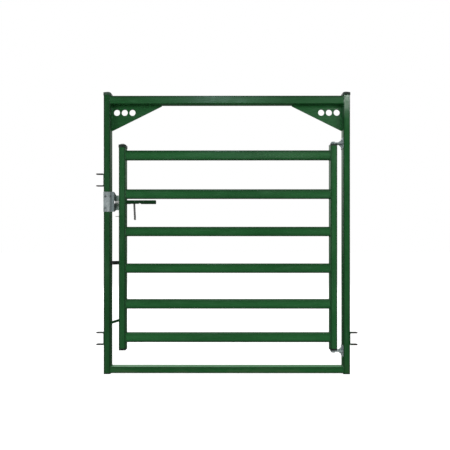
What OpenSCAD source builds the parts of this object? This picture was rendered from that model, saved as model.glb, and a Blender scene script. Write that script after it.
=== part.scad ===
// Walk-through bow gate for a livestock corral: a welded steel frame of two posts, a header and a
// sill, and a six-rail leaf that hangs on two hinge pins and is held by a sliding bolt.
//
// Millimetres, +Z up, X along the width with the bolt side at -X. The leaf opens towards -Y.
// The origin is the centre of the sill's underside.

/* [Posts] */
// Side of the square post tube
post_size = 54; // [46:0.1:64]
// Wall of the post tube
post_wall = 2.5; // [2:0.1:4]
// Outer corner radius of the post, header and sill tubes
post_corner = 5; // [3:0.5:8]
// Height of the posts above the header's top face
post_rise = 17.5; // [14:0.5:40]

/* [Header and sill] */
// Height of the header tube
header_h = 63.5; // [50:0.1:80]
// Wall of the header tube
header_wall = 2.5; // [2:0.1:4]
// Height of the sill tube
sill_h = 50.8; // [38:0.1:64]
// Wall of the sill tube
sill_wall = 2.5; // [2:0.1:4]
// Height of the headroom from the leaf's top to the header's underside
headroom_h = 325.5; // [280:0.5:600]

/* [Corner gussets] */
// Length of the gusset plate along the header
gusset_run = 408; // [320:1:600]
// Depth of the gusset plate down the post
gusset_drop = 206; // [180:1:260]
// Thickness of the gusset plate
gusset_t = 5; // [3:0.5:10]
// Distance from the tubes' back faces to the back of the gusset plate
gusset_back = 5.5; // [3:0.5:22]
// Blunt edge left at the plate's two points
gusset_nose = 6; // [3:0.5:12]
// Diameter of the holes in the gusset plate
gusset_hole_d = 50; // [30:1:60]
// Spacing of the holes along the header
gusset_hole_pitch = 63.5; // [60:0.5:90]
// Distance from the post to the centre of the first hole
gusset_hole_inset = 40; // [34:1:70]
// Distance from the header down to the hole centres
gusset_hole_depth = 58; // [35:1:70]

/* [Leaf] */
// Width over the two stiles
leaf_w = 1763; // [1200:1:2400]
// Clear width between the latch post and the leaf
latch_gap = 68; // [60:1:90]
// Clear width between the hinge post and the leaf
hinge_gap = 49; // [47:0.5:60]
// Height of the leaf's underside above the sill's underside
leaf_lift = 184; // [150:1:300]
// Side of the square stile tube
stile_size = 54; // [44:0.1:60]
// Wall of the stile tube
stile_wall = 2; // [1.5:0.1:3]
// Outer corner radius of the stile tube
stile_corner = 5; // [3:0.5:8]

/* [Rails] */
// Height of a rail tube
rail_h = 76.2; // [60:0.1:90]
// Depth of a rail tube from front to back
rail_d = 44.5; // [36:0.1:50]
// Wall of a rail tube
rail_wall = 1.8; // [1.2:0.1:3]
// Outer corner radius of a rail tube
rail_corner = 12; // [6:0.5:18]
// Height of the lowest rail's centre above the leaf's underside
rail_first = 101; // [80:1:140]
// Spacings between rail centres, from the lowest pair up
rail_pitch = [271, 290, 298, 304, 315]; // [120:1:400]
// Height of the leaf's top above the highest rail's centre
rail_last = 87; // [70:1:140]

/* [Plastic caps] */
// Height of a pyramid cap's skirt
cap_skirt = 12; // [8:0.5:20]
// Wall of a pyramid cap's skirt
cap_wall = 2.6; // [1.5:0.1:4]
// Flat rim of a pyramid cap above its tube
cap_rim = 8; // [2:0.5:12]
// Height of a cap's pyramid
cap_peak = 13.5; // [8:0.5:30]
// Width of the flat on top of a cap's pyramid
cap_flat = 18; // [4:0.5:26]
// Thickness of the plug head under each post
foot_lip = 7; // [3:0.5:12]
// Thickness of the plug heads on the stile ends
stile_lip = 15; // [6:0.5:18]
// Depth of a plug inside its tube
plug_depth = 36; // [20:1:60]
// Clearance between a plug or cap and its tube
plug_fit = 0.2; // [0.1:0.05:0.4]

/* [Hinges] */
// Diameter of the hinge pins
pin_d = 19; // [14:0.5:22]
// Radial clearance of a pin in its bush
pin_fit = 0.1; // [0.05:0.01:0.2]
// Depth of a pin inside the leaf
pin_reach = 40; // [30:1:46]
// Diameter of a pin's head
pin_head_d = 32; // [22:0.5:36]
// Thickness of a pin's head
pin_head_t = 8; // [3:0.5:12]
// Gap between a hinge plate and the leaf
hinge_play = 3; // [2:0.1:5]
// Diameter of the collar that the leaf rests on
collar_d = 30; // [27:0.5:38]
// Thickness of the hinge plates
plate_t = 10; // [6:0.5:14]
// Width of the hinge plates from front to back
plate_w = 44; // [36:0.5:50]
// Height of the hinge bracket's flange on the post
flange_h = 84; // [70:1:110]
// Thickness of the hinge bracket's flange
flange_t = 5; // [3:0.5:8]
// Reach of the hinge bracket's web beside the leaf, from the post
web_run = 34; // [20:0.5:35]
// Height of the hinge bracket's web beside the leaf
web_drop = 30; // [24:0.5:50]
// Reach of the web on the plate's other side, from the post
brace_run = 42; // [30:0.5:48]
// Height of the web on the plate's other side
brace_rise = 26; // [16:0.5:34]
// Thickness of the hinge bracket's webs
web_t = 6; // [4:0.5:10]

/* [Panel clevises] */
// Height over a clevis's two ears
clevis_h = 102; // [80:1:140]
// Reach of a clevis from its post
clevis_out = 68.8; // [60:0.1:100]
// Width of a clevis's flat bar
clevis_w = 32; // [28:0.5:44]
// Thickness of a clevis's flat bar
clevis_t = 6.4; // [5:0.1:10]
// Inner bend radius of a clevis
clevis_bend = 6; // [4:0.5:12]
// Diameter of the pin hole through both ears
clevis_hole_d = 18; // [14:0.5:20]
// Height of the lower clevises' centres
clevis_low_z = 274; // [140:1:500]
// Height of the upper clevis's centre
clevis_high_z = 1563; // [1540:1:1640]

/* [Bolt] */
// Diameter of the bolt
bolt_d = 22; // [18:0.5:24]
// Length of the bolt
bolt_len = 270; // [220:1:290]
// Distance from the leaf's outer face to the bolt's tip at rest
bolt_rest = 33; // [20:0.5:36]
// Travel from rest to the locked place
bolt_lock = 25; // [20:0.5:28]
// Travel from rest to the drawn place
bolt_draw = 45; // [38:1:46]
// Radial clearance of the bolt in its barrel
bolt_fit = 0.5; // [0.2:0.05:1]
// Chamfer on the bolt's ends
bolt_chamfer = 2; // [1:0.5:4]

/* [Barrel and handle] */
// Outer diameter of the barrel tube
barrel_d = 32; // [30:0.5:38]
// Length of the barrel from the leaf's outer face
barrel_len = 294; // [285:1:400]
// Gap between the barrel and the rail above it
barrel_gap = 11; // [6:0.5:20]
// Radial clearance of the barrel in the stile's holes
barrel_fit = 0.15; // [0.1:0.05:0.4]
// Diameter of the handle rod
handle_d = 16; // [12:0.5:17]
// Length of the handle below the bolt's axis
handle_len = 145; // [100:1:200]
// Lean of the handle away from the leaf's outer face
handle_lean = 2.6; // [0:0.1:5]
// Distance from the bolt's tip to the handle's axis
handle_inset = 151; // [140:1:160]
// Clearance between the handle and the sides of its slot
slot_fit = 1.5; // [1:0.1:4]
// Extra width of the notch that holds the handle when drawn
notch_extra = 9; // [4:0.5:12]

/* [Keeper] */
// Height of the keeper's front plate
keeper_h = 161; // [120:1:220]
// Height of the keeper's back flange
keeper_back_h = 121; // [90:1:160]
// Thickness of the keeper plate
keeper_t = 4; // [3:0.5:6]
// Distance from the post to the keeper's side wall
keeper_out = 29; // [27:0.5:30]
// Length of the back flange behind the leaf's stile
keeper_lap = 24; // [10:1:40]
// Gap between the keeper's back flange and the leaf
keeper_gap = 12.5; // [6:0.5:24]
// Radial clearance of the bolt in the keeper's hole
keeper_fit = 3; // [2:0.5:6]

/* [Leaf stops] */
// Height of the middle stop's centre
mid_stop_z = 889; // [700:1:1000]
// Height of the middle stop's bar
mid_stop_h = 30; // [20:1:40]
// Height of the low stop's centre at the post
low_stop_z = 403; // [340:1:600]
// Height of the low stop's bar
low_stop_h = 21; // [12:1:30]
// Rise of the low stop's bar from the post to its tip
low_stop_rise = 14; // [0:1:30]
// Thickness of a stop's bar
stop_t = 8; // [5:0.5:12]
// Gap between a stop and the back of the leaf
stop_gap = 6; // [5:0.5:10]
// Length of a stop behind the leaf's stile
stop_lap = 24; // [12:1:40]
// Width of a stop's foot on the post
stop_foot = 30; // [20:1:40]
// Height of the catch pin below the bolt's axis
catch_drop = 116; // [96:1:160]
// Length of the catch pin
catch_len = 34; // [20:1:36]
// Diameter of the catch pin
catch_d = 5; // [4:0.5:8]

/* [Hidden] */

$fn = 48;
// Overlap of a cutting tool past the face it cuts
cut = 1;
// Facets of each corner in a rounded pyramid
pyramid_fn = 32;
// Thin slab that a sloping bar grows from
slab = 0.5;
// Running gap over the hinge collar
collar_play = 0.3;

// Sum of the first n numbers of a list
function sum_to(v, n) = n <= 0 ? 0 : v[n - 1] + sum_to(v, n - 1);
// Height of a rail's centre, counted from 1 at the bottom
function rail_z(i) = leaf_lift + rail_first + sum_to(rail_pitch, i - 1);

rail_n = len(rail_pitch) + 1;
leaf_top = rail_z(rail_n) + rail_last;
header_z = leaf_top + headroom_h;
post_h = header_z + header_h + post_rise;

// Inner face of each post, and the middle of each post and stile, from the gate's centre
post_in = (leaf_w + latch_gap + hinge_gap) / 2;
post_x = post_in + post_size / 2;
post_out = post_in + post_size;
leaf_left = -post_in + latch_gap;
leaf_right = post_in - hinge_gap;
latch_stile_x = leaf_left + stile_size / 2;
hinge_x = leaf_right - stile_size / 2;
rail_len = leaf_w - 2 * stile_size;
rail_mid_x = (leaf_left + leaf_right) / 2;

bolt_z = rail_z(rail_n - 1) - rail_h / 2 - barrel_gap - barrel_d / 2;
barrel_bore_d = bolt_d + 2 * bolt_fit;
bolt_tip_x = leaf_left - bolt_rest;
handle_x = bolt_tip_x + handle_inset;
slot_w = handle_d + 2 * slot_fit;
keeper_wall_x = -post_in + keeper_out;
stop_y = stile_size / 2 + stop_gap;

green = [0.10, 0.30, 0.16];
dark_green = [0.06, 0.18, 0.10];
black = [0.05, 0.05, 0.05];
zinc = [0.62, 0.65, 0.66];
dark_steel = [0.20, 0.19, 0.18];
bright_steel = [0.50, 0.49, 0.48];

// Rectangle a by b about the origin with round corners
module round_rect(a, b, r) {
    square([a - 2 * r, b], center = true);
    square([a, b - 2 * r], center = true);
    for (sx = [-1, 1], sy = [-1, 1])
        translate([sx * (a / 2 - r), sy * (b / 2 - r)]) circle(r);
}

// Section of a tube with round corners
module tube_section(a, b, wall, r) {
    difference() {
        round_rect(a, b, r);
        round_rect(a - 2 * wall, b - 2 * wall, max(r - wall, wall / 4));
    }
}

// Level tube along X, h high and d deep, centred on the origin
module level_tube(len, h, d, wall, r) {
    rotate([0, 90, 0]) linear_extrude(len, center = true) tube_section(h, d, wall, r);
}

// Block that fills the inside of a tube, less the plug clearance
module plug_body(size, wall, corner, depth) {
    inner = size - 2 * wall - 2 * plug_fit;
    linear_extrude(depth) round_rect(inner, inner, max(corner - wall - plug_fit, wall / 4));
}

// Flat strip of thickness t along a list of points
module strip(points, t) {
    last = len(points) - 1;
    for (i = [1 : last]) {
        step = points[i] - points[i - 1];
        translate(points[i - 1]) rotate(atan2(step[1], step[0]))
            translate([0, -t / 2]) square([norm(step), t]);
    }
    for (i = [1 : last - 1]) translate(points[i]) circle(d = t);
}

module post(x) {
    color(green) translate([x, 0, 0])
        linear_extrude(post_h) tube_section(post_size, post_size, post_wall, post_corner);
}

module header_bar() {
    color(green) translate([0, 0, header_z + header_h / 2])
        level_tube(2 * post_in, header_h, post_size, header_wall, post_corner);
}

module sill_bar() {
    color(green) translate([0, 0, sill_h / 2])
        level_tube(2 * post_in, sill_h, post_size, sill_wall, post_corner);
}

// Slip-on pyramid cap over the end of an upright tube, with the tube's end at z 0
module pyramid_cap(size, tube_corner) {
    inner = size + 2 * plug_fit;
    outer = inner + 2 * cap_wall;
    corner = tube_corner + plug_fit;
    color(black) {
        translate([0, 0, -cap_skirt]) linear_extrude(cap_skirt) difference() {
            round_rect(outer, outer, corner + cap_wall);
            round_rect(inner, inner, corner);
        }
        linear_extrude(cap_rim) round_rect(outer, outer, corner + cap_wall);
        translate([0, 0, cap_rim]) hull() {
            linear_extrude(slab) round_rect(outer, outer, corner + cap_wall, $fn = pyramid_fn);
            translate([0, 0, cap_peak - slab]) linear_extrude(slab) square(cap_flat, center = true);
        }
    }
}

module post_cap(x) {
    translate([x, 0, post_h]) pyramid_cap(post_size, post_corner);
}

module latch_stile_cap() {
    translate([latch_stile_x, 0, leaf_top - stile_lip]) pyramid_cap(stile_size, stile_corner);
}

// Plug in the foot of a post
module foot_plug(x) {
    color(black) translate([x, 0, 0]) {
        translate([0, 0, -foot_lip]) linear_extrude(foot_lip) round_rect(post_size, post_size, post_corner);
        plug_body(post_size, post_wall, post_corner, plug_depth);
    }
}

// Triangular plate in the corner between a post and the header, set to their back, side -1 or 1
module gusset(side) {
    plate_y = post_size / 2 - max(gusset_back, post_corner) - gusset_t / 2;
    holes = floor((gusset_run / 2 - gusset_hole_inset) / gusset_hole_pitch) + 1;
    color(green) translate([side * post_in, plate_y, header_z]) mirror([side > 0 ? 1 : 0, 0, 0])
        rotate([90, 0, 0]) linear_extrude(gusset_t, center = true) difference() {
            polygon([
                [0, 0], [gusset_run, 0], [gusset_run, -gusset_nose],
                [gusset_nose, -gusset_drop], [0, -gusset_drop]
            ]);
            for (i = [0 : holes - 1])
                translate([gusset_hole_inset + i * gusset_hole_pitch, -gusset_hole_depth])
                    circle(d = gusset_hole_d);
        }
}

// U shape that opens towards +X, with round corners at its closed end
module u_outline(reach, h, r) {
    translate([r, -h / 2]) square([reach - r, h]);
    translate([0, -h / 2 + r]) square([reach, h - 2 * r]);
    for (s = [-1, 1]) translate([r, s * (h / 2 - r)]) circle(r);
}

// Bent flat bar with two drilled ears that joins the gate to the next panel, side -1 or 1
module clevis(side, z) {
    hole_x = clevis_out - clevis_w / 2;
    color(dark_steel) translate([side * post_out, 0, z]) mirror([side < 0 ? 1 : 0, 0, 0])
        difference() {
            intersection() {
                rotate([90, 0, 0]) linear_extrude(clevis_w, center = true) difference() {
                    u_outline(clevis_out, clevis_h, clevis_bend + clevis_t);
                    translate([clevis_t, 0])
                        u_outline(clevis_out, clevis_h - 2 * clevis_t, clevis_bend);
                }
                linear_extrude(clevis_h + 2 * cut, center = true) {
                    translate([0, -clevis_w / 2]) square([hole_x, clevis_w]);
                    translate([hole_x, 0]) circle(d = clevis_w);
                }
            }
            translate([hole_x, 0, 0]) cylinder(h = clevis_h + 2 * cut, d = clevis_hole_d, center = true);
        }
}

// Bent plate on the latch post: a front plate, a side wall with the bolt's hole, and a back flange
module latch_keeper() {
    front_y = -post_size / 2 - keeper_t / 2;
    back_y = stile_size / 2 + keeper_gap + keeper_t / 2;
    wall_x = keeper_wall_x - keeper_t / 2;
    run = [
        [-post_out, front_y], [-post_in, front_y],
        [wall_x, front_y + keeper_t], [wall_x, back_y],
        [leaf_left + keeper_lap, back_y]
    ];
    color(zinc) translate([0, 0, bolt_z]) difference() {
        intersection() {
            linear_extrude(keeper_h, center = true) strip(run, keeper_t);
            rotate([90, 0, 90]) linear_extrude(2 * post_out + cut, center = true) polygon([
                [front_y - keeper_t, -keeper_h / 2], [-post_size / 4, -keeper_h / 2],
                [back_y - keeper_t, -keeper_back_h / 2], [back_y + keeper_t, -keeper_back_h / 2],
                [back_y + keeper_t, keeper_back_h / 2], [back_y - keeper_t, keeper_back_h / 2],
                [-post_size / 4, keeper_h / 2], [front_y - keeper_t, keeper_h / 2]
            ]);
        }
        translate([wall_x, 0, 0]) rotate([0, 90, 0])
            cylinder(h = keeper_t + 2 * cut, d = bolt_d + 2 * keeper_fit, center = true);
    }
}

// Bar from the latch post round the back of the leaf's stile
module leaf_stop(z, h, rise) {
    elbow_x = leaf_left - stop_gap;
    translate([-post_in, -stop_foot / 2, z - h / 2]) cube([stop_t / 2, stop_foot, h]);
    hull() {
        translate([-post_in + stop_t / 2, 0, z - h / 2]) cube([slab, stop_t, h]);
        translate([elbow_x, stop_y, z + rise - h / 2]) cube([slab, stop_t, h]);
    }
    translate([elbow_x, stop_y, z + rise - h / 2]) cube([stop_gap + stop_lap, stop_t, h]);
}

module middle_stop() {
    color(black) leaf_stop(mid_stop_z, mid_stop_h, 0);
}

module low_stop() {
    color(dark_green) leaf_stop(low_stop_z, low_stop_h, low_stop_rise);
}

// Hinge bracket drawn with the leaf below it: its plate's underside is at z 0
module hinge_bracket() {
    reach = post_in - hinge_x;
    difference() {
        union() {
            linear_extrude(plate_t) {
                translate([0, -plate_w / 2]) square([reach, plate_w]);
                circle(d = plate_w);
            }
            translate([reach - flange_t, -plate_w / 2, (plate_t - flange_h) / 2])
                cube([flange_t, plate_w, flange_h]);
            translate([reach - flange_t, 0, 0]) rotate([90, 0, 0]) linear_extrude(web_t, center = true) {
                polygon([[0, 0], [flange_t - web_run, 0], [0, -web_drop]]);
                translate([0, plate_t]) polygon([[0, 0], [0, brace_rise], [flange_t - brace_run, 0]]);
            }
        }
        translate([0, 0, -cut]) cylinder(h = plate_t + 2 * cut, d = pin_d + 2 * pin_fit);
    }
}

// Hinge pin for the bracket above, with its head on the plate
module hinge_pin() {
    shank = pin_reach + hinge_play + plate_t;
    translate([0, 0, plate_t]) cylinder(h = pin_head_t, d = pin_head_d);
    translate([0, 0, plate_t - shank]) cylinder(h = shank, d = pin_d);
}

module top_hinge_bracket() {
    color(zinc) translate([hinge_x, 0, leaf_top + hinge_play]) hinge_bracket();
}

module bottom_hinge_bracket() {
    color(zinc) translate([hinge_x, 0, leaf_lift - hinge_play]) mirror([0, 0, 1]) hinge_bracket();
}

module top_hinge_pin() {
    color(zinc) translate([hinge_x, 0, leaf_top + hinge_play]) hinge_pin();
}

// The lower pin also has the collar that carries the leaf
module bottom_hinge_pin() {
    color(zinc) translate([hinge_x, 0, leaf_lift - hinge_play]) {
        mirror([0, 0, 1]) hinge_pin();
        cylinder(h = hinge_play - collar_play, d = collar_d);
    }
}

// Plug head and body on a stile's end, with the head's outer face at z 0 and the body above it
module stile_plug() {
    linear_extrude(stile_lip) round_rect(stile_size, stile_size, stile_corner);
    translate([0, 0, stile_lip]) plug_body(stile_size, stile_wall, stile_corner, plug_depth);
}

// The same plug bored for a hinge pin
module hinge_bush() {
    difference() {
        stile_plug();
        translate([0, 0, -cut])
            cylinder(h = stile_lip + plug_depth + 2 * cut, d = pin_d + 2 * pin_fit);
    }
}

module stile_tube(x) {
    translate([x, 0, leaf_lift + stile_lip]) linear_extrude(leaf_top - leaf_lift - 2 * stile_lip)
        tube_section(stile_size, stile_size, stile_wall, stile_corner);
}

module hinge_stile() {
    color(green) stile_tube(hinge_x);
}

module latch_stile() {
    color(green) difference() {
        stile_tube(latch_stile_x);
        translate([latch_stile_x, 0, bolt_z]) rotate([0, 90, 0])
            cylinder(h = stile_size + 2 * cut, d = barrel_d + 2 * barrel_fit, center = true);
    }
}

module rail(i) {
    color(green) translate([rail_mid_x, 0, rail_z(i)])
        level_tube(rail_len, rail_h, rail_d, rail_wall, rail_corner);
}

// Barrel that the bolt slides in, with the handle's slot and notch along its underside
module bolt_barrel() {
    slot_from = handle_x - bolt_lock;
    slot_to = handle_x + bolt_draw;
    slot_top = -bolt_d / 4;
    slot_deep = barrel_d / 2 + cut + slot_top;
    color(dark_green) translate([0, 0, bolt_z]) difference() {
        translate([leaf_left, 0, 0]) rotate([0, 90, 0]) cylinder(h = barrel_len, d = barrel_d);
        translate([leaf_left - cut, 0, 0]) rotate([0, 90, 0])
            cylinder(h = barrel_len + 2 * cut, d = barrel_bore_d);
        translate([slot_from, -slot_w / 2, slot_top - slot_deep])
            cube([slot_to - slot_from, slot_w, slot_deep]);
        translate([slot_from, 0, slot_top - slot_deep]) cylinder(h = slot_deep, d = slot_w);
        translate([slot_to, 0, slot_top - slot_deep])
            cylinder(h = slot_deep, d = slot_w + notch_extra);
    }
}

// Short pin on the latch stile's outer face, below the bolt
module catch_pin() {
    color(bright_steel) translate([leaf_left - catch_len, 0, bolt_z - catch_drop])
        rotate([0, 90, 0]) cylinder(h = catch_len, d = catch_d);
}

// Space of the handle rod, widened by gap, from the bolt's axis down
module handle_rod(gap) {
    translate([handle_x, 0, bolt_z]) rotate([0, -handle_lean, 0]) translate([0, 0, -handle_len])
        cylinder(h = handle_len + gap, d = handle_d + 2 * gap);
}

module sliding_bolt() {
    color(bright_steel) difference() {
        translate([bolt_tip_x, 0, bolt_z]) rotate([0, 90, 0]) {
            cylinder(h = bolt_chamfer, d1 = bolt_d - 2 * bolt_chamfer, d2 = bolt_d);
            translate([0, 0, bolt_chamfer]) cylinder(h = bolt_len - 2 * bolt_chamfer, d = bolt_d);
            translate([0, 0, bolt_len - bolt_chamfer])
                cylinder(h = bolt_chamfer, d1 = bolt_d, d2 = bolt_d - 2 * bolt_chamfer);
        }
        handle_rod(plug_fit);
    }
}

module bolt_handle() {
    color(bright_steel) handle_rod(0);
}

post(-post_x);  // left_post
post(post_x);  // right_post
header_bar();
sill_bar();
post_cap(-post_x);  // left_post_cap
post_cap(post_x);  // right_post_cap
foot_plug(-post_x);  // left_foot_plug
foot_plug(post_x);  // right_foot_plug
gusset(-1);  // left_gusset
gusset(1);  // right_gusset
clevis(-1, clevis_high_z);  // left_upper_clevis
clevis(-1, clevis_low_z);  // left_lower_clevis
clevis(1, clevis_low_z);  // right_lower_clevis
latch_keeper();
middle_stop();
low_stop();
top_hinge_bracket();
bottom_hinge_bracket();
top_hinge_pin();
bottom_hinge_pin();
latch_stile();
hinge_stile();
rail(1);  // rail_1
rail(2);  // rail_2
rail(3);  // rail_3
rail(4);  // rail_4
rail(5);  // rail_5
rail(6);  // rail_6
latch_stile_cap();
color(black)  // latch_stile_bottom_plug
    translate([latch_stile_x, 0, leaf_lift]) stile_plug();
color(black)  // top_hinge_bush
    translate([hinge_x, 0, leaf_top]) mirror([0, 0, 1]) hinge_bush();
color(black)  // bottom_hinge_bush
    translate([hinge_x, 0, leaf_lift]) hinge_bush();
bolt_barrel();
catch_pin();
sliding_bolt();
bolt_handle();
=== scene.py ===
import math, random
import bpy, bmesh
from mathutils import Matrix, Vector


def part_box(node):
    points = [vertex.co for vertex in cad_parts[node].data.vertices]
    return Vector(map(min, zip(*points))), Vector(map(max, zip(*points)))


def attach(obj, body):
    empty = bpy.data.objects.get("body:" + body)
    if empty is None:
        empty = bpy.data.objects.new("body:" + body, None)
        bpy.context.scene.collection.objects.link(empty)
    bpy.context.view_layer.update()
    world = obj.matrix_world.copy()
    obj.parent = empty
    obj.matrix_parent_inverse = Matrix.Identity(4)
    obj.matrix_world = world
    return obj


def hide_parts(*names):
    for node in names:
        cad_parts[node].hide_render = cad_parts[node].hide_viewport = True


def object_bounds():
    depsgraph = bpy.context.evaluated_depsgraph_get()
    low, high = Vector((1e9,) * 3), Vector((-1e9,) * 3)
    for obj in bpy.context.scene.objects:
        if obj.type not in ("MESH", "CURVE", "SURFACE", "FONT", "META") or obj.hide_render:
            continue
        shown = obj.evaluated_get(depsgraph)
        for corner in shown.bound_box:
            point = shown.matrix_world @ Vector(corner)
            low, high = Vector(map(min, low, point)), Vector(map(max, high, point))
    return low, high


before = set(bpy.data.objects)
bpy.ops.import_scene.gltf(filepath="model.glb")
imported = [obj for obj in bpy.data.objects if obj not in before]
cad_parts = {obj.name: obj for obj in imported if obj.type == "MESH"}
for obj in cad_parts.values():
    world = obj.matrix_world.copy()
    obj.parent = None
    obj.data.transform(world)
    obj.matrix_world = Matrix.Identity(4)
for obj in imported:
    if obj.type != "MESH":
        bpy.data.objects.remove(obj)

cad_box = [list(corner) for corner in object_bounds()]

# ---- Posts -------------------------------------------------------------------------------------
# The two uprights are square steel tubes 54 mm across with a 2.5 mm wall.
# They are degreased and powder-coated dark green together with everything that is welded to them,
# so the coat is a little uneven, slightly orange-peeled, and rubbed thin along the tube corners.
DEEP_GREEN, FULL_GREEN = (0.0120, 0.0800, 0.0210), (0.0165, 0.1010, 0.0275)
PALE_GREEN, STREAK_GREEN = (0.0250, 0.1230, 0.0390), (0.070, 0.150, 0.088)
CORNER_SHADE_GREEN, TOP_LIGHT_GREEN = (0.0055, 0.0260, 0.0085), (0.060, 0.300, 0.095)
RUBBED_GREEN, SCRATCHED_GREEN = (0.085, 0.165, 0.100), (0.10, 0.19, 0.12)
YARD_SOIL = (0.115, 0.088, 0.058)
HALF_BLEND = 0.004

post_low, post_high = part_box("right_post")
POST_FACE_X, POST_OUT_X, POST_BACK_Y = post_low.x, post_high.x, post_high.y


def new_finish(name):
    """An empty finish with its skin, and the place on the piece that its patterns follow."""
    finish = bpy.data.materials.new(name)
    finish.use_nodes = True
    nodes = finish.node_tree.nodes
    nodes.clear()
    skin = nodes.new("ShaderNodeBsdfPrincipled")
    surface = nodes.new("ShaderNodeOutputMaterial").inputs["Surface"]
    finish.node_tree.links.new(skin.outputs["BSDF"], surface)
    return finish, skin, nodes.new("ShaderNodeTexCoord").outputs["Object"]


def layer(finish, kind, sockets, **settings):
    """Adds one node to a finish; a socket is given a value, or the output that it is joined to."""
    node = finish.node_tree.nodes.new("ShaderNode" + kind)
    for setting, value in settings.items():
        setattr(node, setting, value)
    for socket, value in sockets.items():
        if isinstance(value, bpy.types.NodeSocket):
            finish.node_tree.links.new(value, node.inputs[socket])
        else:
            node.inputs[socket].default_value = value
    return node.outputs


def join(finish, value, skin, socket):
    finish.node_tree.links.new(value, skin.inputs[socket])


def mottle(finish, place, scale, detail, rough, stretch=(1, 1, 1), turn=(0, 0, 0)):
    """Noise pattern on the piece, drawn out by stretch."""
    drawn = layer(finish, "Mapping", {"Vector": place, "Scale": stretch, "Rotation": turn})
    noise = {"Vector": drawn["Vector"], "Scale": scale, "Detail": detail, "Roughness": rough}
    return layer(finish, "TexNoise", noise)["Fac"]


def drawn_out(along, across, lengthwise):
    """The stretch of a pattern that is scaled differently along one axis than across it."""
    stretch = [across] * 3
    stretch[along] = lengthwise
    return stretch


def spread(finish, value, low, high, to_low=0.0, to_high=1.0):
    """Stretches the part of a pattern between low and high over to_low to to_high."""
    ends = {"Value": value, "From Min": low, "From Max": high, "To Min": to_low, "To Max": to_high}
    return layer(finish, "MapRange", ends, interpolation_type="SMOOTHSTEP")["Result"]


def times(finish, a, b):
    return layer(finish, "Math", {0: a, 1: b}, operation="MULTIPLY")["Value"]


def plus(finish, a, b):
    return layer(finish, "Math", {0: a, 1: b}, operation="ADD")["Value"]


def axes(finish, vector):
    return layer(finish, "SeparateXYZ", {0: vector})


def facing_up(finish):
    """1 on a face that lies flat and looks up, and 0 on an upright one."""
    return axes(finish, layer(finish, "NewGeometry", {})["Normal"])["Z"]


def rubbed(finish):
    """The mark on the eased edges of a piece."""
    return layer(finish, "Attribute", {}, attribute_name="rub")["Fac"]


def colour(rgb, tone=1.0):
    return [c * tone for c in rgb] + [1]


def over(finish, amount, under, top):
    """Lays one colour over another."""
    mix = {0: amount, 6: under, 7: top}
    return layer(finish, "Mix", mix, data_type="RGBA", clamp_factor=True).values()[2]


def veil(finish, coat, pattern, low, high, strength, top):
    """Lays a colour over the coat where a pattern passes from low to high."""
    return over(finish, times(finish, spread(finish, pattern, low, high), strength), coat, top)


def relief(finish, skin, height, depth, strength):
    bump = layer(finish, "Bump", {"Height": height, "Distance": depth, "Strength": strength})
    join(finish, bump["Normal"], skin, "Normal")


def corner_rub(finish, place, low, high, along, start):
    """1 at a tube's long corners and 0 on its flats, for a tube that runs along one axis."""
    half = [max((h - l) / 2, 1e-4) for l, h in zip(low, high)]
    centred = {"Vector": place, "Location": [-(h + l) / 2 / s for l, h, s in zip(low, high, half)],
               "Scale": [1 / s for s in half]}
    across = layer(finish, "Mapping", centred)["Vector"]
    parts = axes(finish, layer(finish, "VectorMath", {0: across}, operation="ABSOLUTE")["Vector"])
    u, v = [parts[i] for i in range(3) if i != along]
    return times(finish, spread(finish, u, start, 0.99), spread(finish, v, start, 0.99))


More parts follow.
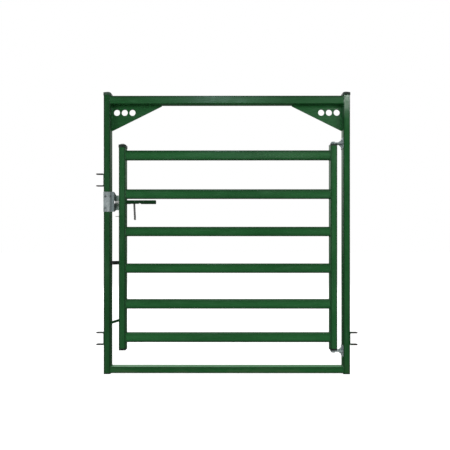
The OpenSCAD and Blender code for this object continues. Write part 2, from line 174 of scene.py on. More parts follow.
def green_enamel(name, tone=1.0, along=2, rub=None, box=None, soil=None, lit_top=0.0,
                 rough=(0.22, 0.36), corner_shade=(0.48, 0.85, 0.85)):
    """Dark green powder coat. rub is "tube" for a tube that fills box, or "edge" for a plate whose
    eased edges carry the wear. soil is how high the dirt of the yard reaches, and lit_top how much
    painted light pales the faces that look upward. corner_shade is where painted shade starts to
    darken the coat towards a tube's corners, and how far it does at the upper and the lower ones."""
    finish, skin, place = new_finish(name)
    drift = mottle(finish, place, 1.0, 5.0, 0.6, drawn_out(along, 4.5, 1.3))
    cloud = mottle(finish, place, 26.0, 5.0, 0.6, drawn_out(along, 1.0, 0.22))
    grain = mottle(finish, place, 240.0, 2.0, 0.5)
    streak = mottle(finish, place, 1.0, 4.0, 0.6, drawn_out(along, 60, 5))
    scuff = spread(finish, mottle(finish, place, 85.0, 8.0, 0.68), 0.50, 0.66)
    scratch = mottle(finish, place, 1.0, 3.0, 0.5, (9, 40, 460), (0.2, 0.5, 0.35))
    deep, full, pale = (colour(green, tone) for green in (DEEP_GREEN, FULL_GREEN, PALE_GREEN))
    coat = over(finish, spread(finish, drift, 0.36, 0.62), deep, full)
    coat = veil(finish, coat, cloud, 0.50, 0.72, 0.55, pale)
    coat = veil(finish, coat, grain, 0.52, 0.70, 0.22, deep)
    coat = veil(finish, coat, streak, 0.56, 0.74, 0.20, colour(STREAK_GREEN, tone))
    # Painted shade darkens a tube towards its long corners, by different amounts at its upper and its
    # lower ones.
    if rub == "tube":
        start, upper, lower = corner_shade
        middle = (box[0].z + box[1].z) / 2
        depth = spread(finish, axes(finish, place)["Z"], middle - HALF_BLEND, middle + HALF_BLEND,
                       lower, upper)
        painted_corner_shade = times(finish, corner_rub(finish, place, *box, along, start), depth)
        coat = over(finish, painted_corner_shade, coat, colour(CORNER_SHADE_GREEN, tone))
        worn = times(finish, corner_rub(finish, place, *box, along, 0.88),
                     times(finish, scuff, 0.45))
    elif rub == "edge":
        worn = times(finish, rubbed(finish), scuff)
    else:
        worn = times(finish, scuff, 0.12)
    coat = over(finish, times(finish, worn, 0.55), coat, colour(RUBBED_GREEN))
    coat = veil(finish, coat, scratch, 0.70, 0.76, 0.30, colour(SCRATCHED_GREEN))
    # Painted light pales the faces that look upward.
    if lit_top:
        coat = veil(finish, coat, facing_up(finish), 0.60, 0.98, lit_top, colour(TOP_LIGHT_GREEN))
    if soil:
        splash = spread(finish, axes(finish, place)["Z"], soil, -0.01)
        dirt = times(finish, splash, spread(finish, cloud, 0.42, 0.70))
        coat = over(finish, times(finish, dirt, 0.22), coat, colour(YARD_SOIL))
    join(finish, coat, skin, "Base Color")
    join(finish, spread(finish, cloud, 0.30, 0.72, *rough), skin, "Roughness")
    skin.inputs["Specular IOR Level"].default_value = 0.25
    peel = plus(finish, times(finish, grain, 0.5), times(finish, cloud, 0.5))
    relief(finish, skin, peel, 0.00035, 0.35)
    return finish


def wear(piece, finish):
    piece.data.materials.clear()
    piece.data.materials.append(finish)


# The posts share one coat: the left one's lower tone is painted shade.
for node, tone, rough in (("left_post", 0.80, (0.22, 0.36)), ("right_post", 0.90, (0.09, 0.16))):
    wear(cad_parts[node],
         green_enamel(node + "_enamel", tone, 2, "tube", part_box(node), soil=0.14, rough=rough))

# ---- Header and sill ---------------------------------------------------------------------------
# The header tube is 63.5 mm high and the sill tube 50.8 mm, both as deep as the posts, cut square
# and butt-welded between them. Each end has one bead round it, ground off under the sill.
# A bead's size is its radius, and OFF is how far its middle stands off what it lies on.
BEAD_STEP, BEAD_SIDES, BEAD_TAPER = 0.0016, 8, 0.45
BEAD_RIPPLE, RIPPLE_CHANGE = (1.05, 0.88), 0.04
BAR_BEAD, BAR_BEAD_SUNK, BAR_CORNER, SILL_BEAD_LOW = 0.0032, 0.0008, 0.004, 0.006
hand = random.Random(7)

header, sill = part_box("header_bar"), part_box("sill_bar")
# Painted shade darkens the header's upper corners but not its lower ones.
wear(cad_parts["header_bar"],
     green_enamel("header_enamel", 0.96, 0, "tube", header, rough=(0.26, 0.40),
                  corner_shade=(0.20, 0.75, 0.0)))
# A painted light pales the sill's upward faces.
wear(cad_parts["sill_bar"],
     green_enamel("sill_enamel", 1.02, 0, "tube", sill, soil=0.09, lit_top=0.8))


def lay_bead(row, start, heading, axis, legs, size, closed=False):
    """Lays a rippled bead of radius size from start, and adds it to row. A leg is a length to go
    ahead, or (radius, degrees) to turn about axis."""
    at, ahead, axis = Vector(start), Vector(heading).normalized(), Vector(axis).normalized()
    bead = bmesh.new()
    aim = ahead.to_track_quat("Z", "Y").to_matrix().to_4x4()
    end = 1.0 if closed else BEAD_TAPER
    ring = bmesh.ops.create_circle(bead, cap_ends=not closed, segments=BEAD_SIDES,
                                   radius=size * end, matrix=Matrix.Translation(at) @ aim)["verts"]
    first, swell, count, run = ring, end, 0, []
    for leg in legs:
        bend = isinstance(leg, tuple)
        reach = leg[0] * abs(math.radians(leg[1])) if bend else leg
        run.append((leg, bend, reach, max(2, round(reach / BEAD_STEP))))
    total = sum(steps for *_, steps in run)
    for leg, bend, reach, steps in run:
        if bend:
            turn = Matrix.Rotation(math.radians(leg[1]) / steps, 3, axis)
            pivot = at + axis.cross(ahead) * leg[0] * math.copysign(1, leg[1])
        for _ in range(steps):
            grown = [bead.verts.new(v.co) for v in ring]
            for i in range(BEAD_SIDES):
                a, b = (i - 1, i) if closed else (i, i - 1)
                bead.faces.new((ring[a], ring[b], grown[b], grown[a]))
            ring = grown
            if bend:
                bmesh.ops.rotate(bead, cent=pivot, matrix=turn, verts=ring)
                at, ahead = pivot + turn @ (at - pivot), turn @ ahead
            else:
                bmesh.ops.translate(bead, vec=ahead * reach / steps, verts=ring)
                at = at + ahead * reach / steps
            count += 1
            ripple = BEAD_RIPPLE[count % 2] * (1 + hand.uniform(-RIPPLE_CHANGE, RIPPLE_CHANGE))
            if count >= total:
                ripple = end
            bmesh.ops.scale(bead, vec=(ripple / swell,) * 3, space=Matrix.Translation(-at),
                            verts=ring)
            swell = ripple
    if closed:
        bmesh.ops.remove_doubles(bead, verts=first + ring, dist=size * 0.1)
    else:
        bead.faces.new(ring)
    laid = bpy.data.meshes.new("bead")
    bead.to_mesh(laid)
    bead.free()
    row.from_mesh(laid)
    bpy.data.meshes.remove(laid)


def all_round(wide, tall, corner):
    """The legs of a closed bead, from the lengths of its straights and its corner radius."""
    return [wide, (corner, 90), tall, (corner, 90)] * 2


def finish_piece(bm, name, body, finish, soft=75, even=False):
    """Turns a bmesh into a piece that rides on a body. Edges sharper than soft degrees stay crisp,
    and even shades the piece by the size of its faces."""
    bmesh.ops.recalc_face_normals(bm, faces=bm.faces)
    mesh = bpy.data.meshes.new(name)
    bm.to_mesh(mesh)
    bm.free()
    mesh.polygons.foreach_set("use_smooth", [True] * len(mesh.polygons))
    mesh.set_sharp_from_angle(angle=math.radians(soft))
    piece = bpy.data.objects.new(name, mesh)
    bpy.context.scene.collection.objects.link(piece)
    if even:
        piece.modifiers.new("even_light", "WEIGHTED_NORMAL").keep_sharp = True
    wear(piece, finish)
    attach(piece, body)
    return piece


bead_enamel = green_enamel("bead_enamel", 0.95)
bm = bmesh.new()
for side in (-1, 1):
    x, y = side * (POST_FACE_X + BAR_BEAD_SUNK), POST_BACK_Y - BAR_BEAD / 2
    deep, tall = 2 * y - 2 * BAR_CORNER, header[1].z - header[0].z - 2 * BAR_CORNER
    lay_bead(bm, (x, -y + BAR_CORNER, header[1].z), (0, 1, 0), (-1, 0, 0),
             all_round(deep, tall, BAR_CORNER), BAR_BEAD, closed=True)
    rise = sill[1].z - SILL_BEAD_LOW - BAR_CORNER
    lay_bead(bm, (x, -y, SILL_BEAD_LOW), (0, 0, 1), (-1, 0, 0),
             [rise, (BAR_CORNER, 90), deep, (BAR_CORNER, 90), rise], BAR_BEAD)
finish_piece(bm, "post_to_bar_welds", "frame", bead_enamel)

# ---- Corner gussets ----------------------------------------------------------------------------
# A 5 mm plate stiffens each upper corner, with three round holes cut through it to save weight.
# Its cut edges are eased and it is stitch-welded to the post and the header on both faces.
SAME_POINT, FLAT_DEGREES, SHARP_DEGREES = 2e-6, 0.8, 28
NARROW, NARROW_LIMIT = 1.8, 0.0007
STITCH, STITCH_OFF = 0.0026, 0.0009
HEADER_STITCHES, HEADER_STITCH_LEN = (0.016, 0.128, 0.240, 0.352), 0.042
POST_STITCHES, POST_STITCH_LEN = (0.014, 0.088, 0.160), 0.038


def eased_plate(name, node, body, finish, ease, segments=3):
    """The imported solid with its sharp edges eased. The narrow faces of the eased edges carry the
    mark "rub" for the wear."""
    bm = bmesh.new()
    bm.from_mesh(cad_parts[node].data)
    bmesh.ops.remove_doubles(bm, verts=bm.verts, dist=SAME_POINT)
    bmesh.ops.dissolve_limit(bm, angle_limit=math.radians(FLAT_DEGREES), verts=bm.verts,
                             edges=bm.edges, use_dissolve_boundaries=False, delimit=set())
    sharp = [e for e in bm.edges
             if len(e.link_faces) == 2 and e.calc_face_angle() > math.radians(SHARP_DEGREES)]
    bmesh.ops.bevel(bm, geom=sharp, offset=ease, offset_type="OFFSET", segments=segments,
                    profile=0.5, affect="EDGES", clamp_overlap=True, material=-1)
    rub = bm.loops.layers.float_color.new("rub")
    strip = min(NARROW * ease / segments, NARROW_LIMIT)
    for face in bm.faces:
        mark = float(face.calc_area() < strip * max(edge.calc_length() for edge in face.edges))
        for loop in face.loops:
            loop[rub] = (mark, mark, mark, 1)
    piece = finish_piece(bm, name, body, finish, soft=50, even=True)
    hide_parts(node)


bm = bmesh.new()
# The gussets share one coat: the left one's lower tone and the right one's higher tone are painted
# shade and light.
for side, word, tone in ((-1, "left", 0.90), (1, "right", 1.06)):
    eased_plate(word + "_gusset_plate", word + "_gusset", "frame",
                green_enamel(word + "_gusset_enamel", tone, 0, "edge"),
                ease=0.0007)
    low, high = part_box(word + "_gusset")
    for y in (low.y - STITCH_OFF, high.y + STITCH_OFF):
        for start in HEADER_STITCHES:
            lay_bead(bm, (side * (POST_FACE_X - start), y, high.z - STITCH_OFF), (-side, 0, 0),
                     (0, 1, 0), [HEADER_STITCH_LEN], STITCH)
        for start in POST_STITCHES:
            lay_bead(bm, (side * (POST_FACE_X - STITCH_OFF), y, high.z - start), (0, 0, -1),
                     (0, 1, 0), [POST_STITCH_LEN], STITCH)
finish_piece(bm, "gusset_welds", "frame", bead_enamel)

# ---- Caps and foot plugs -----------------------------------------------------------------------
# Pyramid caps slip over the post tops and ribbed plugs are driven into the feet.
# They are moulded in black polyethylene, which has bloomed to a greenish grey on top.
MOULDED_BLACK, HAZED_BLACK = (0.0070, 0.0150, 0.0085), (0.0140, 0.0290, 0.0175)
BLOOM_GREY = (0.062, 0.094, 0.073)


def moulded_black(name, bloom, chalk=1.0, fade=1.0):
    """Moulded plastic. bloom is how much of its top has bloomed, chalk how pale the bloom is, and
    fade how pale the plastic under it has become."""
    finish, skin, place = new_finish(name)
    haze = mottle(finish, place, 42.0, 6.0, 0.62)
    pit = mottle(finish, place, 900.0, 2.0, 0.5)
    top = times(finish, spread(finish, facing_up(finish), 0.15, 0.95),
                spread(finish, haze, 0.34, 0.62))
    coat = over(finish, spread(finish, haze, 0.40, 0.66), colour(MOULDED_BLACK, fade),
                colour(HAZED_BLACK, fade))
    coat = over(finish, times(finish, top, bloom), coat, colour(BLOOM_GREY, chalk))
    join(finish, coat, skin, "Base Color")
    join(finish, spread(finish, haze, 0.30, 0.70, 0.34, 0.52), skin, "Roughness")
    skin.inputs["Specular IOR Level"].default_value = 0.45
    relief(finish, skin, pit, 0.0002, 0.30)
    return finish


plug_black = moulded_black("plug_black", bloom=0.30)
for side, bloom, chalk, fade in (("left", 0.95, 1.7, 3.2), ("right", 0.75, 0.8, 1.3)):
    wear(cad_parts[side + "_post_cap"],
         moulded_black(side + "_cap_black", bloom, chalk, fade))
    wear(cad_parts[side + "_foot_plug"], plug_black)

# ---- Panel clevises ----------------------------------------------------------------------------
# A clevis is a 32 x 6.4 mm flat bar bent to a U, with an 18 mm hole through both ears for the next
# panel's pin. It is welded on after blasting, so the coat fades from its web to dark bare ears.
DARK_SCALE, PALE_SCALE = (0.0190, 0.0165, 0.0150), (0.0430, 0.0385, 0.0350)
RUST, THIN_GREEN, RUBBED_SCALE = (0.075, 0.038, 0.020), (0.0125, 0.0560, 0.0225), (0.12, 0.11, 0.10)
COATED_TO_X, BARE_FROM_X, COAT_RAGGED = 1.014, 1.036, 0.016
CLEVIS_BEAD, CLEVIS_BEAD_INSET = 0.0030, 0.008
OFF_POST, OFF_BAR = 0.0010, 0.0006


def clevis_steel(name, side):
    """Blasted steel with mill scale; the coat ends on the way out to the ears of that side."""
    finish, skin, place = new_finish(name)
    scale = mottle(finish, place, 120.0, 7.0, 0.65)
    cloud = mottle(finish, place, 30.0, 5.0, 0.6)
    coat = over(finish, spread(finish, scale, 0.35, 0.68), colour(DARK_SCALE), colour(PALE_SCALE))
    coat = veil(finish, coat, cloud, 0.50, 0.68, 0.45, colour(RUST))
    out = plus(finish, times(finish, axes(finish, place)["X"], side),
               times(finish, cloud, COAT_RAGGED))
    coat = over(finish, spread(finish, out, BARE_FROM_X, COATED_TO_X), coat, colour(THIN_GREEN))
    edge = times(finish, rubbed(finish), spread(finish, scale, 0.50, 0.66))
    coat = over(finish, times(finish, edge, 0.3), coat, colour(RUBBED_SCALE))
    join(finish, coat, skin, "Base Color")
    skin.inputs["Metallic"].default_value = 0.10
    skin.inputs["Specular IOR Level"].default_value = 0.20
    join(finish, spread(finish, scale, 0.30, 0.70, 0.48, 0.72), skin, "Roughness")
    relief(finish, skin, scale, 0.0006, 0.40)
    return finish


bm = bmesh.new()
for side, node in ((-1, "left_upper_clevis"), (-1, "left_lower_clevis"), (1, "right_lower_clevis")):
    eased_plate(node + "_bar", node, "frame", clevis_steel(node + "_steel", side),
                ease=0.0007)
    low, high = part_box(node)
    for face in (-1, 1):
        start = (side * (POST_OUT_X + OFF_POST), face * (high.y + OFF_BAR),
                 low.z + CLEVIS_BEAD_INSET)
        lay_bead(bm, start, (0, 0, 1), (0, 1, 0), [high.z - low.z - 2 * CLEVIS_BEAD_INSET],
                 CLEVIS_BEAD)
finish_piece(bm, "clevis_welds", "frame", bead_enamel)

# ---- Latch keeper ------------------------------------------------------------------------------
# The keeper is one 4 mm plate, bent round the post's front face, past the bolt's hole in its side
# wall, and across the back of the leaf. It is hot-dip galvanised, so it shows spangle and runs.
DARK_ZINC, PALE_ZINC = (0.270, 0.310, 0.315), (0.400, 0.440, 0.440)
RUN_ZINC, BRIGHT_ZINC = (0.165, 0.195, 0.200), (0.520, 0.560, 0.550)
DULL_ZINC, RUBBED_ZINC = (0.150, 0.175, 0.170), (0.62, 0.65, 0.65)
# The slope's and the inner wall's dark zincs are painted shade, and the bend's, the back flange's and
# its edge's pale zincs are painted light and highlights.
SLOPE_SHADE_ZINC, BEND_HIGHLIGHT_ZINC, WALL_SHADE_ZINC = (0.160, 0.190, 0.191), (0.34, 0.41, 0.42), (0.050, 0.074, 0.070)
SPOT_GREY, FLANGE_LIGHT_ZINC, EDGE_HIGHLIGHT_ZINC = (0.030, 0.040, 0.036), (0.50, 0.61, 0.53), (0.82, 0.93, 0.84)

# Each pair is where one part of the keeper's plate begins to show, and where it is in full. A dark
# spot is its x, its z and how dark it is.
FRONT_Y, BACK_FLANGE_Y = (0.030, 0.020), (0.034, 0.040)
SLOPE_SHADE_X, BEND_X, BEND_END_X = (-0.948, -0.940), (-0.929, -0.920), (-0.909, -0.914)
WALL_X, OUTER_EDGE_X = (-0.915, -0.908), (-0.903, -0.897)
SPOT_RADII = (0.0125, 0.0050)
DARK_SPOTS = ((-0.977, 1.425, 0.75), (-0.937, 1.427, 0.55), (-0.979, 1.331, 0.55))


def keeper_light_shade_and_spots(finish, coat, place, parts):
    """Lays painted shade on the keeper's front where it slopes into the bend and on its inner wall,
    three dark spots on its front, a painted highlight along the bend, painted light on the back
    flange and a painted highlight along the flange's outer edge."""
    front = spread(finish, parts["Y"], *FRONT_Y)
    # Painted shade on the front's inner part, where it slopes into the bend.
    slope_shade = times(finish, spread(finish, parts["X"], *SLOPE_SHADE_X), front)
    coat = over(finish, times(finish, slope_shade, 0.92), coat, colour(SLOPE_SHADE_ZINC))
    # A painted highlight along the bend.
    bend_highlight = times(finish, spread(finish, parts["X"], *BEND_X),
                  spread(finish, parts["X"], *BEND_END_X))
    coat = over(finish, times(finish, times(finish, bend_highlight, front), 0.50), coat, colour(BEND_HIGHLIGHT_ZINC))
    # Painted shade on the inner side wall.
    wall_shade = times(finish, spread(finish, parts["X"], *WALL_X),
                 spread(finish, parts["Y"], *reversed(BACK_FLANGE_Y)))
    coat = over(finish, times(finish, wall_shade, 0.85), coat, colour(WALL_SHADE_ZINC))
    # Three dark round spots on the front, at the given points.
    flat = layer(finish, "VectorMath", {0: place, 1: (1, 0, 1)}, operation="MULTIPLY")["Vector"]
    for x, z, strength in DARK_SPOTS:
        away = layer(finish, "VectorMath", {0: flat, 1: (x, 0, z)}, operation="DISTANCE")["Value"]
        spot = times(finish, spread(finish, away, *SPOT_RADII), front)
        coat = over(finish, times(finish, spot, strength), coat, colour(SPOT_GREY))
    # Painted light on the back flange, and a painted highlight along its outer edge.
    lit_flange = spread(finish, parts["Y"], *BACK_FLANGE_Y)
    coat = over(finish, times(finish, lit_flange, 0.80), coat, colour(FLANGE_LIGHT_ZINC))
    edge_highlight = times(finish, lit_flange, spread(finish, parts["X"], *OUTER_EDGE_X))
    return over(finish, edge_highlight, coat, colour(EDGE_HIGHLIGHT_ZINC))


def galvanised(name, runs, dull, tone=1.0, keeper=False):
    """Zinc with spangle. runs is the axis in which it ran, and dull how far it has greyed."""
    finish, skin, place = new_finish(name)
    crystals = {"Vector": place, "Scale": 105.0, "Randomness": 1.0}
    fleck = axes(finish, layer(finish, "TexVoronoi", crystals)["Color"])["X"]
    run = mottle(finish, place, 1.0, 4.0, 0.6, drawn_out(runs, 70, 6))
    haze = mottle(finish, place, 36.0, 6.0, 0.62)
    coat = over(finish, fleck, colour(DARK_ZINC, tone), colour(PALE_ZINC, tone))
    coat = veil(finish, coat, run, 0.44, 0.62, 0.60, colour(RUN_ZINC))
    coat = veil(finish, coat, run, 0.46, 0.30, 0.55, colour(BRIGHT_ZINC))
    coat = veil(finish, coat, haze, 0.52, 0.72, dull, colour(DULL_ZINC))
    skin.inputs["Metallic"].default_value = 0.45
    # On the keeper, painted light and shade go over the zinc, and the back flange is made less
    # metallic so that it reads lighter in its shade.
    if keeper:
        parts = axes(finish, place)
        coat = keeper_light_shade_and_spots(finish, coat, place, parts)
        join(finish, spread(finish, parts["Y"], *BACK_FLANGE_Y, 0.45, 0.20), skin, "Metallic")
    edge = times(finish, rubbed(finish), spread(finish, haze, 0.35, 0.6))
    coat = over(finish, times(finish, edge, 0.45), coat, colour(RUBBED_ZINC))
    join(finish, coat, skin, "Base Color")
    join(finish, spread(finish, haze, 0.30, 0.70, 0.36, 0.56), skin, "Roughness")
    lumps = plus(finish, times(finish, run, 0.7), times(finish, haze, 0.4))
    relief(finish, skin, lumps, 0.0007, 0.45)
    return finish


keeper_zinc = galvanised("keeper_zinc", runs=2, dull=0.5, tone=1.14, keeper=True)
eased_plate("keeper_plate", "latch_keeper", "frame", keeper_zinc, ease=0.0009)

# ---- Leaf stops --------------------------------------------------------------------------------
# Two flat bars on the latch post reach round the back of the leaf's stile and stop it.
# The middle one is painted black, the lower one green, and both feet are welded all round.
STOP_BLACK, STOP_GREY = (0.0080, 0.0088, 0.0080), (0.0240, 0.0260, 0.0230)
RUBBED_BLACK = (0.115, 0.112, 0.105)
STOP_BEAD, STOP_CORNER, STOP_INSET = 0.0020, 0.0024, 0.0020
STOP_HALF, LOW_STOP_RISE = 0.0130, 0.014
OFF_FACE, OFF_SIDE = 0.0008, 0.0004


def stop_black(name):
    finish, skin, place = new_finish(name)
    haze = mottle(finish, place, 60.0, 6.0, 0.62)
    coat = over(finish, spread(finish, haze, 0.36, 0.66), colour(STOP_BLACK), colour(STOP_GREY))
    edge = times(finish, rubbed(finish), spread(finish, haze, 0.42, 0.6))
    coat = over(finish, times(finish, edge, 0.6), coat, colour(RUBBED_BLACK))
    join(finish, coat, skin, "Base Color")
    join(finish, spread(finish, haze, 0.30, 0.70, 0.34, 0.55), skin, "Roughness")
    relief(finish, skin, haze, 0.0004, 0.35)
    return finish


middle_stop_black = stop_black("middle_stop_black")
eased_plate("middle_stop_bar", "middle_stop", "frame", middle_stop_black,
            ease=0.0007)
eased_plate("low_stop_bar", "low_stop", "frame",
            green_enamel("low_stop_enamel", 0.70, 0, "edge"), ease=0.0007)
for node, finish, slot, rise in (("middle_stop", middle_stop_black, "black_paint", 0),
                                 ("low_stop", bead_enamel, "green_paint", LOW_STOP_RISE)):
    low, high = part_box(node)
    bm = bmesh.new()
    lay_bead(bm, (-POST_FACE_X + OFF_FACE, -STOP_HALF, low.z - OFF_SIDE), (0, 1, 0), (1, 0, 0),
             all_round(2 * STOP_HALF, high.z - low.z - rise - 2 * STOP_INSET, STOP_CORNER),
             STOP_BEAD, closed=True)
    finish_piece(bm, node + "_weld", "frame", finish)

# ---- Hinge brackets and pins -------------------------------------------------------------------
# Each bracket is a 10 mm plate with a 5 mm flange on the post and a web above and below it, welded
# up and galvanised. A headed pin drops through the plate into the leaf's bush.
FLANGE_BEAD, FLANGE_CORNER, FLANGE_INSET = 0.0024, 0.0044, 0.004
PLATE_BEAD, PLATE_BEAD_X, PLATE_BEAD_Y, PLATE_BEAD_LEN = 0.0020, 0.0056, 0.0205, 0.0160
PLATE_THICK, OFF_PLATE = 0.010, 0.0006

bm = bmesh.new()
# The bottom bracket's higher tone is painted light on the same zinc as the top one.
for word, tone, plate_low in (("top", 1.0, 1.853), ("bottom", 1.65, 0.171)):
    eased_plate(word + "_bracket", word + "_hinge_bracket", "frame",
                galvanised(word + "_bracket_zinc", runs=2, dull=0.60, tone=tone),
                ease=0.0008)
    low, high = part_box(word + "_hinge_bracket")
    deep, tall = (size - 2 * FLANGE_INSET for size in (high.y - low.y, high.z - low.z))
    lay_bead(bm, (POST_FACE_X - OFF_FACE, low.y + FLANGE_INSET, low.z - OFF_SIDE), (0, 1, 0),
             (1, 0, 0), all_round(deep, tall, FLANGE_CORNER), FLANGE_BEAD, closed=True)
    for z in (plate_low - OFF_PLATE, plate_low + PLATE_THICK + OFF_PLATE):
        for face in (-1, 1):
            lay_bead(bm, (POST_FACE_X - PLATE_BEAD_X, face * PLATE_BEAD_Y, z), (0, -face, 0),
                     (1, 0, 0), [PLATE_BEAD_LEN], PLATE_BEAD)
finish_piece(bm, "bracket_welds", "frame", galvanised("weld_zinc", runs=1, dull=0.8))
pin_zinc = galvanised("pin_zinc", runs=2, dull=0.8)
for word in ("top", "bottom"):
    eased_plate(word + "_pin", word + "_hinge_pin", "frame", pin_zinc, ease=0.0009)

# ---- Leaf stiles and rails ---------------------------------------------------------------------
# The leaf is two 54 mm square stiles with six rails between them, each a 76 x 44 mm tube with
# big round corners. A bead runs round both ends of every rail. The leaf is coated as one piece.
# The higher a rail hangs, the more painted shade darkens its upper corners and the less its lower
# ones.
# The rails' tones, higher than the stiles', are painted light on the leaf's one coat.
RAIL_LIT_TONES = (1.27, 1.18, 1.14, 1.14, 1.18, 1.13)
RAIL_BEAD, RAIL_CORNER, BEAD_SPARE = 0.0029, 0.0125, 0.001

# The stiles share one coat: the latch stile's lower tone and the hinge stile's higher tone are
# painted shade and light.
for node, tone in (("latch_stile", 0.90), ("hinge_stile", 1.10)):
    wear(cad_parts[node],
         green_enamel(node + "_enamel", tone, 2, "tube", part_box(node), soil=0.30))
low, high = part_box("rail_1")
deep, tall = (size - 2 * RAIL_CORNER + BEAD_SPARE for size in (high.y - low.y, high.z - low.z))
bm = bmesh.new()
for i, tone in enumerate(RAIL_LIT_TONES, 1):
    node = f"rail_{i}"
    low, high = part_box(node)
    wear(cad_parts[node],
         green_enamel(node + "_enamel", tone, 0, "tube", (low, high),
                      corner_shade=(0.10, 0.24 + 0.10 * i, 0.90 - 0.10 * i)))
    for x in (low.x + OFF_FACE, high.x - OFF_FACE):
        lay_bead(bm, (x, -deep / 2, high.z + OFF_SIDE), (0, 1, 0), (-1, 0, 0),
                 all_round(deep, tall, RAIL_CORNER), RAIL_BEAD, closed=True)
finish_piece(bm, "rail_welds", "leaf", bead_enamel)

# ---- Stile cap, plug and bushes ----------------------------------------------------------------
# The latch stile has a pyramid cap and a bottom plug; the hinge stile has a bored bush in each end
# that turns on the hinge pin. All four are the same black polyethylene as the post caps.
wear(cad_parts["latch_stile_cap"], moulded_black("stile_cap_black", bloom=0.40))
for node in ("latch_stile_bottom_plug", "top_hinge_bush", "bottom_hinge_bush"):
    wear(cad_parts[node], plug_black)

# ---- Bolt barrel -------------------------------------------------------------------------------
# The barrel is a 32 mm tube through the latch stile, slotted and notched along its underside for
# the handle. It is welded to both faces of the stile and painted dark green over a rubbed slot.
BARREL_BEAD_RADIUS, OFF_STILE = 0.0166, 0.0004
OUTER_BARREL_BEAD, INNER_BARREL_BEAD = 0.0017, 0.0028

barrel_low, barrel_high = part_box("bolt_barrel")
bolt_z = (barrel_low.z + barrel_high.z) / 2
eased_plate("barrel_tube", "bolt_barrel", "leaf", green_enamel("barrel_enamel", 0.34, 0, "edge"),
            ease=0.0005, segments=2)
bm = bmesh.new()
for x, size in ((barrel_low.x, OUTER_BARREL_BEAD), (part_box("latch_stile")[1].x, INNER_BARREL_BEAD)):
    lay_bead(bm, (x + OFF_STILE, 0, bolt_z + BARREL_BEAD_RADIUS), (0, 1, 0), (-1, 0, 0),
             [(BARREL_BEAD_RADIUS, 360)], size, closed=True)
finish_piece(bm, "barrel_welds", "leaf", bead_enamel)

# ---- Sliding bolt, handle and catch pin --------------------------------------------------------
# The bolt is 22 mm bright round bar with a 16 mm handle rod welded into it, left unpainted, so it
# is burnished along its length and browned where the hand doesn't rub. The catch pin is 5 mm rod.
DARK_STEEL, PALE_STEEL = (0.125, 0.122, 0.118), (0.290, 0.285, 0.275)
BROWNED, RUBBED_STEEL = (0.105, 0.065, 0.040), (0.46, 0.45, 0.44)
HANDLE_BEAD, HANDLE_BEAD_RADIUS, HANDLE_BEAD_DROP = 0.0012, 0.0085, 0.0092


def bright_bar(name, along, tone=1.0, brown=0.40, metal=0.55):
    """Drawn steel bar that runs along one axis; brown is how far it has browned, and metal how
    bright it shines."""
    finish, skin, place = new_finish(name)
    drawn = mottle(finish, place, 1.0, 4.0, 0.6, drawn_out(along, 420, 12))
    haze = mottle(finish, place, 70.0, 6.0, 0.62)
    coat = over(finish, spread(finish, drawn, 0.32, 0.68), colour(DARK_STEEL, tone),
                colour(PALE_STEEL, tone))
    coat = veil(finish, coat, haze, 0.54, 0.70, brown, colour(BROWNED))
    coat = over(finish, times(finish, rubbed(finish), 0.45), coat, colour(RUBBED_STEEL))
    join(finish, coat, skin, "Base Color")
    skin.inputs["Metallic"].default_value = metal
    join(finish, spread(finish, haze, 0.30, 0.70, 0.30, 0.50), skin, "Roughness")
    relief(finish, skin, drawn, 0.0003, 0.30)
    return finish


# The bolt's high tone is painted light: the bar sits in the keeper's shade, and the tone makes it
# read pale there.
bolt_steel = bright_bar("bolt_steel", 0, tone=2.6, brown=0.10, metal=0.10)
handle_steel = bright_bar("handle_steel", 2, tone=0.48)
eased_plate("bolt_bar", "sliding_bolt", "bolt", bolt_steel, ease=0.0006)
eased_plate("handle_rod", "bolt_handle", "bolt", handle_steel, ease=0.0024)
eased_plate("catch_rod", "catch_pin", "leaf", bright_bar("catch_steel", 0),
            ease=0.0008)
bm = bmesh.new()
low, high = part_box("bolt_handle")
lay_bead(bm, ((low.x + high.x) / 2, HANDLE_BEAD_RADIUS, bolt_z - HANDLE_BEAD_DROP), (1, 0, 0),
         (0, 0, -1), [(HANDLE_BEAD_RADIUS, 360)], HANDLE_BEAD, closed=True)
finish_piece(bm, "handle_weld", "bolt", bright_bar("handle_weld_steel", 0))

# ---- Floor and studio light --------------------------------------------------------------------
# A pale floor just under the foot plugs keeps the gate's soft shadow. Four softboxes stand round
# the gate, and three small panels high in front give the header and the upper tubes their sheen.
FLOOR_GAP, FLOOR_REACH = 0.0005, 40
FLOOR_GREY, GREY_LOST_IN_GLOSS = 0.60, 0.50
FLOOR_GLOW, GLOW_IN_GLOSS = 0.86, 0.05
WHITE = (1, 1, 1, 1)


def more_of(finish, a, b):
    return layer(finish, "Math", {0: a, 1: b}, operation="MAXIMUM")["Value"]


bm = bmesh.new()
bmesh.ops.create_grid(bm, x_segments=8, y_segments=8, size=FLOOR_REACH)
bmesh.ops.translate(bm, vec=(0, 0, cad_box[0][2] - FLOOR_GAP), verts=bm.verts)
floor_mesh = bpy.data.meshes.new("studio_floor")
bm.to_mesh(floor_mesh)
bm.free()
floor = bpy.data.objects.new("studio_floor", floor_mesh)
bpy.context.scene.collection.objects.link(floor)
floor_paper = bpy.data.materials.new("floor_paper")
floor_paper.use_nodes = True
floor_paper.node_tree.nodes.clear()
seen = layer(floor_paper, "LightPath", {})
grey = {0: seen["Is Glossy Ray"], 1: -GREY_LOST_IN_GLOSS, 2: FLOOR_GREY}
shade = layer(floor_paper, "Math", grey, operation="MULTIPLY_ADD")["Value"]
matt = layer(floor_paper, "BsdfDiffuse", {"Color": shade})["BSDF"]
direct = more_of(floor_paper, seen["Is Camera Ray"],
                 times(floor_paper, seen["Is Glossy Ray"], GLOW_IN_GLOSS))
direct = more_of(floor_paper, direct, seen["Is Transmission Ray"])
glow = times(floor_paper, direct, FLOOR_GLOW)
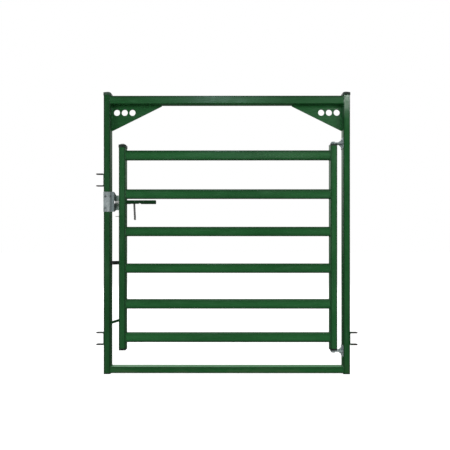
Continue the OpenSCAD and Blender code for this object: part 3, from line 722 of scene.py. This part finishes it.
lift = layer(floor_paper, "Emission", {"Color": WHITE, "Strength": glow})["Emission"]
both = layer(floor_paper, "AddShader", {0: matt, 1: lift})["Shader"]
layer(floor_paper, "OutputMaterial", {"Surface": both})
floor_mesh.materials.append(floor_paper)


def softbox(name, place, target, width, height, watts, tint=(1, 1, 1)):
    lamp = bpy.data.lights.new(name, "AREA")
    lamp.shape, lamp.size, lamp.size_y = "RECTANGLE", width, height
    lamp.energy, lamp.color = watts, tint
    rig = bpy.data.objects.new(name, lamp)
    rig.location = place
    rig.rotation_euler = (Vector(target) - Vector(place)).to_track_quat("-Z", "Y").to_euler()
    bpy.context.scene.collection.objects.link(rig)


for name, place, watts in (("right_softbox", (5.2, -3.6, 1.9), 95),
                           ("left_softbox", (-5.2, -3.6, 1.6), 110),
                           ("back_right_softbox", (4.4, 4.4, 2.4), 60),
                           ("back_left_softbox", (-4.4, 4.4, 2.4), 110)):
    softbox(name, place, (0, 0, 1.1), 2.2, 2.4, watts)
softbox("header_panel", (-0.10, -4.4, 4.13), (0, 0, 2.2), 0.7, 0.5, 33, (0.74, 0.97, 1.0))
softbox("corner_panel", (2.60, -4.4, 4.20), (0.95, 0, 2.2), 0.22, 0.34, 7.8, (0.92, 1.0, 0.95))
softbox("rail_panel", (1.21, -4.4, 2.96), (0.5, 0, 1.78), 0.9, 0.35, 7, (0.85, 1.0, 0.90))

# Gloss sees a room that is brighter behind the gate, above it and to its left. Everything matt is
# lit by a soft fill instead, which comes from in front more than from overhead.
studio = bpy.data.worlds.new("studio_air")
bpy.context.scene.world = studio
studio.use_nodes = True
studio.node_tree.nodes.clear()
seen = layer(studio, "LightPath", {})
way = axes(studio, layer(studio, "TexCoord", {})["Generated"])
room = times(studio, spread(studio, way["Y"], -0.30, 0.60, 0.05, 1.0),
             spread(studio, way["Z"], -0.05, 0.40, 0.12, 0.75))
right_side = spread(studio, way["Z"], 0.12, 0.26, 0.18, 0.75)
room = times(studio, room, spread(studio, way["X"], -0.40, 0.36, 1.75, right_side))
fill = times(studio, spread(studio, way["Y"], -0.80, 0.60, 0.75, 0.26),
             spread(studio, way["Z"], 0.10, 0.80, 1.05, 0.55))
matt = layer(studio, "Mix", {0: seen["Is Glossy Ray"], 2: fill, 3: room})[0]
direct = more_of(studio, seen["Is Camera Ray"], seen["Is Transmission Ray"])
glow = more_of(studio, matt, direct)
sky = layer(studio, "Background", {"Color": WHITE, "Strength": glow})["Background"]
layer(studio, "OutputWorld", {"Surface": sky})

# ---- Camera ------------------------------------------------------------------------------------
# The camera stands level in front of the gate, about chest high, and sees the whole frame.
eye = bpy.data.cameras.new("studio_camera")
eye.sensor_width, eye.lens = 36, 26.458
eye.shift_x, eye.shift_y = -0.0024, 0.0445
eye.clip_start, eye.clip_end = 0.05, 200
camera = bpy.data.objects.new("studio_camera", eye)
camera.location = (-0.001, -2.692, 1.034)
camera.rotation_euler = (math.radians(90), 0, math.radians(0.1))
bpy.context.scene.collection.objects.link(camera)
bpy.context.scene.camera = camera
bpy.context.scene.view_settings.view_transform = "Standard"
